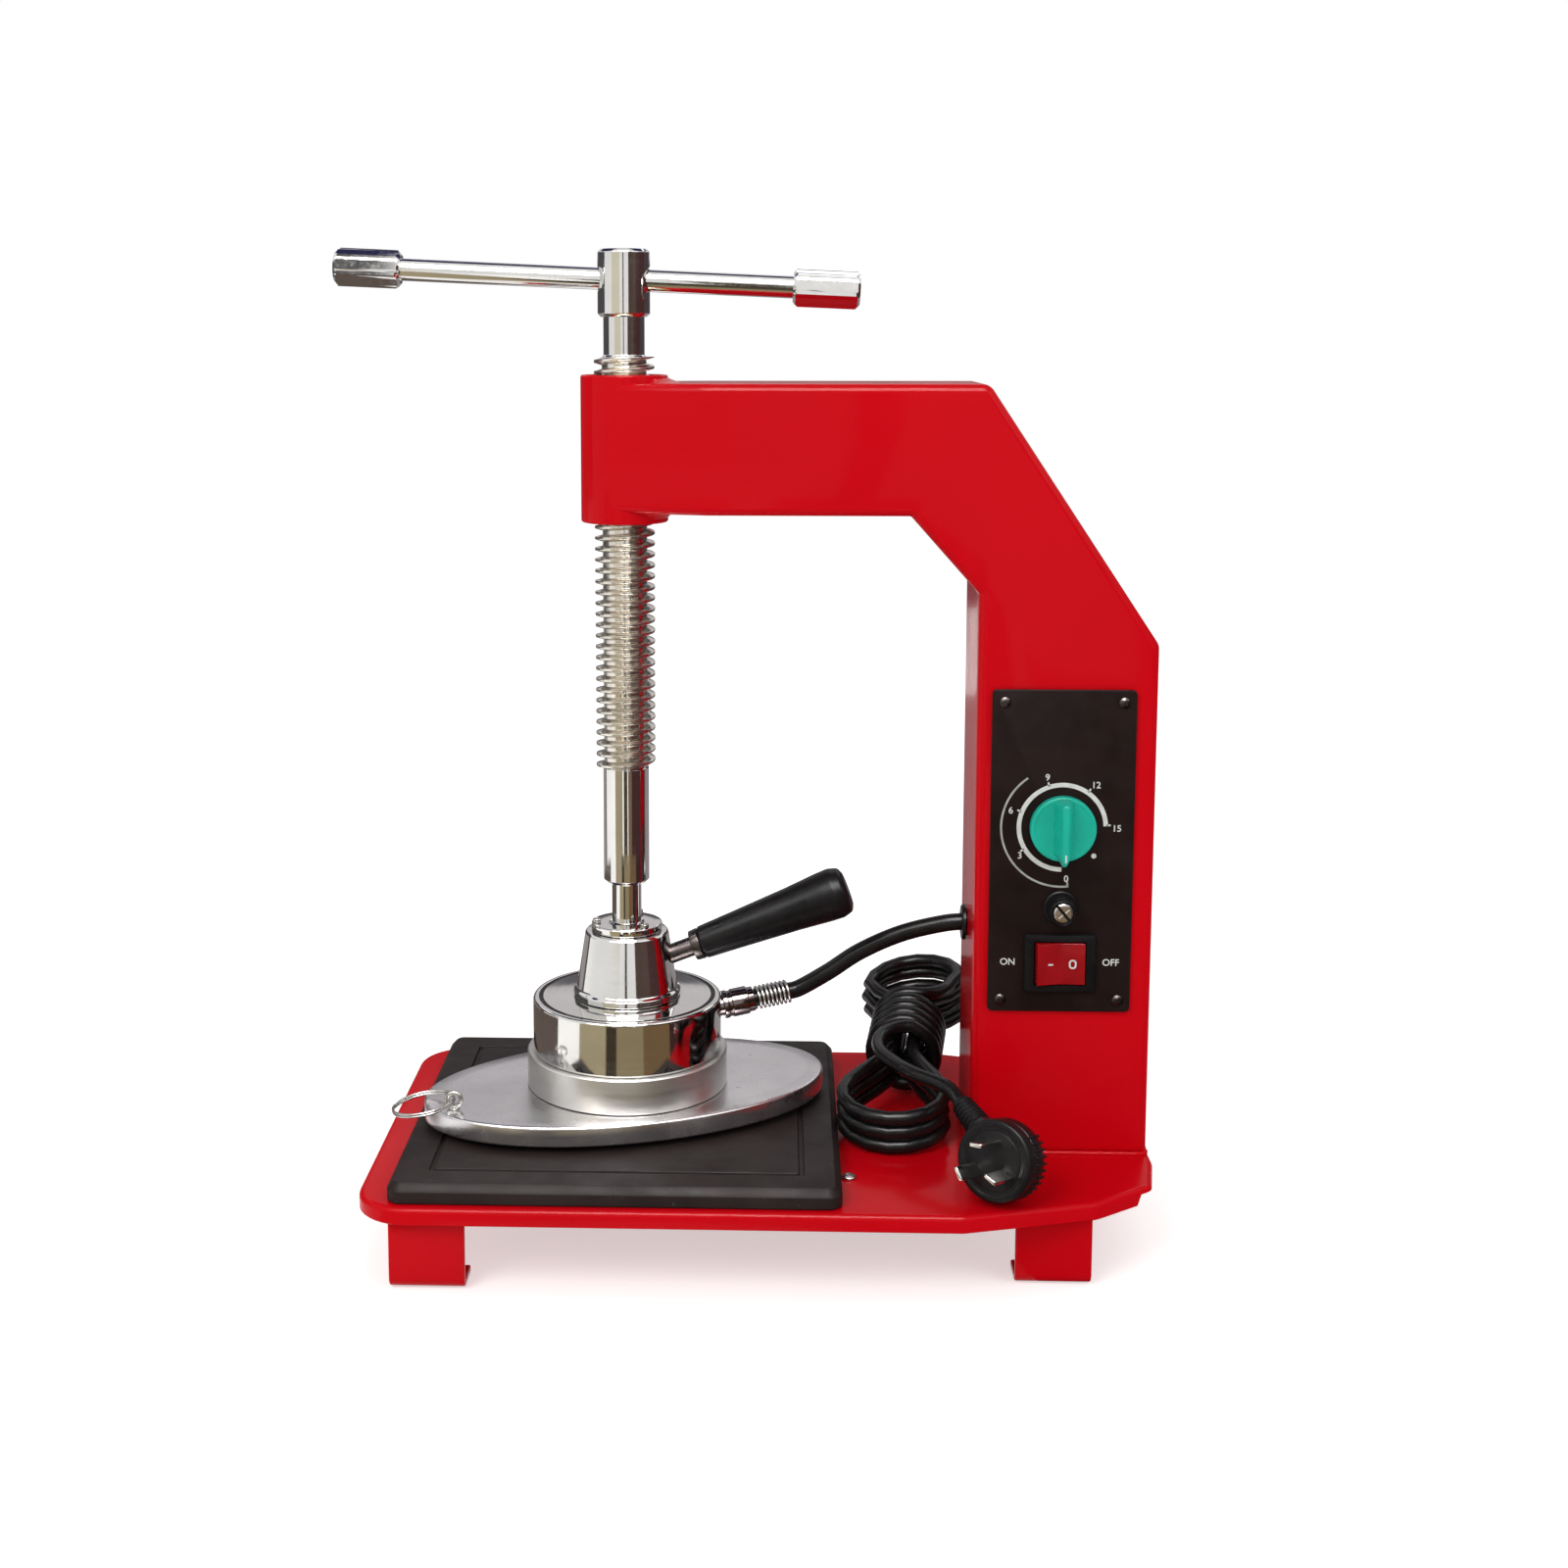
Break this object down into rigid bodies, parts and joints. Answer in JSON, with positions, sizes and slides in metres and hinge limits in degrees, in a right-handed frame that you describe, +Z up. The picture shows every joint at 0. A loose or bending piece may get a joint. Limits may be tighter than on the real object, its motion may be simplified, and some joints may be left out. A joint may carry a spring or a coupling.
{
  "type": "tire vulcanizer",
  "caption": "Bench press with a hand screw in a C-shaped arm, an oval heated plate over a flat pad, a timer panel on the column and a mains lead.",
  "frame": {"origin": "floor level under the feet, at the middle of the object's box without its leads", "axes": "+X along the arm from the screw to the column, +Y from the control panel's side to the back, +Z up"},
  "size_m": [0.3704, 0.2371, 0.4478],
  "materials": {
    "red_paint": "gloss",
    "chrome": "polished",
    "steel": "satin",
    "aluminium": "satin",
    "pad_rubber": "matte",
    "black_plastic": "satin",
    "black_rubber": "matte",
    "black_panel": "satin",
    "green_plastic": "satin",
    "red_plastic": "gloss",
    "brass": "satin",
    "mica": "matte"
  },
  "bodies": {
    "frame": {"base_plate": "red_paint", "left_foot": "red_paint", "right_foot": "red_paint", "press_pad": "pad_rubber", "base_screw": "steel", "frame_shell": "red_paint", "rear_cover": "red_paint", "nut_boss": "red_paint", "thread_nut": "brass", "cable_grommet": "black_rubber", "terminal_block": "black_plastic", "cover_screw_1": "steel", "cover_screw_2": "steel", "cover_screw_3": "steel", "cover_screw_4": "steel", "control_panel": "black_panel", "panel_screw_1": "steel", "panel_screw_2": "steel", "panel_screw_3": "steel", "panel_screw_4": "steel", "timer_body": "black_plastic", "fuse_holder": "black_plastic", "rocker_bezel": "black_plastic", "heater_lead": "black_rubber", "strain_relief": "black_rubber", "mains_tail": "black_rubber", "mains_hank": "black_rubber", "plug_lead": "black_rubber", "plug_body": "black_plastic", "plug_blade_earth": "brass", "plug_blade_left": "brass", "plug_blade_right": "brass"},
    "press_carriage": {"thrust_washer": "brass"},
    "press_screw": {"press_screw": "chrome"},
    "tommy": {"tommy_bar": "chrome", "bar_end_left": "chrome", "bar_end_right": "chrome"},
    "head": {"heater_plate": "aluminium", "plate_eye": "steel", "heater_ring": "aluminium", "heater_drum": "chrome", "head_cone": "chrome", "cone_flange": "chrome", "flange_screw_1": "steel", "flange_screw_2": "steel", "flange_screw_3": "steel", "heating_element": "mica", "insulating_disc": "mica", "thermostat": "black_plastic", "handle_rod": "steel", "handle_grip": "black_plastic", "cable_gland": "chrome", "gland_spring": "steel"},
    "hanging_loop": {"hanging_loop": "steel"},
    "timer_dial": {"timer_knob": "green_plastic", "timer_shaft": "steel"},
    "fuse_cap": {"fuse_cap": "black_plastic"},
    "rocker": {"rocker": "red_plastic"}
  },
  "joints": [
    {"name": "head_lift", "type": "slide", "parent": "frame", "child": "press_carriage", "axis": [0, 0, 1], "range_m": [-0.0023, 0.0801], "deforming": ["heater_lead"]},
    {"name": "screw_turn", "type": "hinge", "parent": "press_carriage", "child": "press_screw", "pos_m": [-0.05458, 0, 0.3046], "axis": [0, 0, 1], "range_deg": [-162, 5760]},
    {"name": "tommy_slide", "type": "slide", "parent": "press_screw", "child": "tommy", "axis": [0.999, 0, -0.0454], "range_m": [-0.063, 0.087]},
    {"name": "head_swivel", "type": "hinge", "parent": "press_carriage", "child": "head", "pos_m": [-0.05458, 0, 0.1046], "axis": [0, 0, 1], "range_deg": [-20, 20]},
    {"name": "loop_swing", "type": "hinge", "parent": "head", "child": "hanging_loop", "pos_m": [-0.1307, -0.03969, 0.064], "axis": [0, 1, 0], "range_deg": [0, 120]},
    {"name": "timer_turn", "type": "hinge", "parent": "frame", "child": "timer_dial", "pos_m": [0.14202, -0.04, 0.1913], "axis": [0, 1, 0], "range_deg": [-52, 266]},
    {"name": "fuse_turn", "type": "hinge", "parent": "frame", "child": "fuse_cap", "pos_m": [0.14202, -0.04, 0.1548], "axis": [0, -1, 0], "range_deg": [0, 90]},
    {"name": "rocker_tilt", "type": "hinge", "parent": "frame", "child": "rocker", "pos_m": [0.14202, -0.035, 0.1294], "axis": [0, 0, -1], "range_deg": [0, 12]}
  ],
  "couplings": [
    {"joint": "head_lift", "follows": "screw_turn", "m_per_rad": 0.00079577}
  ]
}
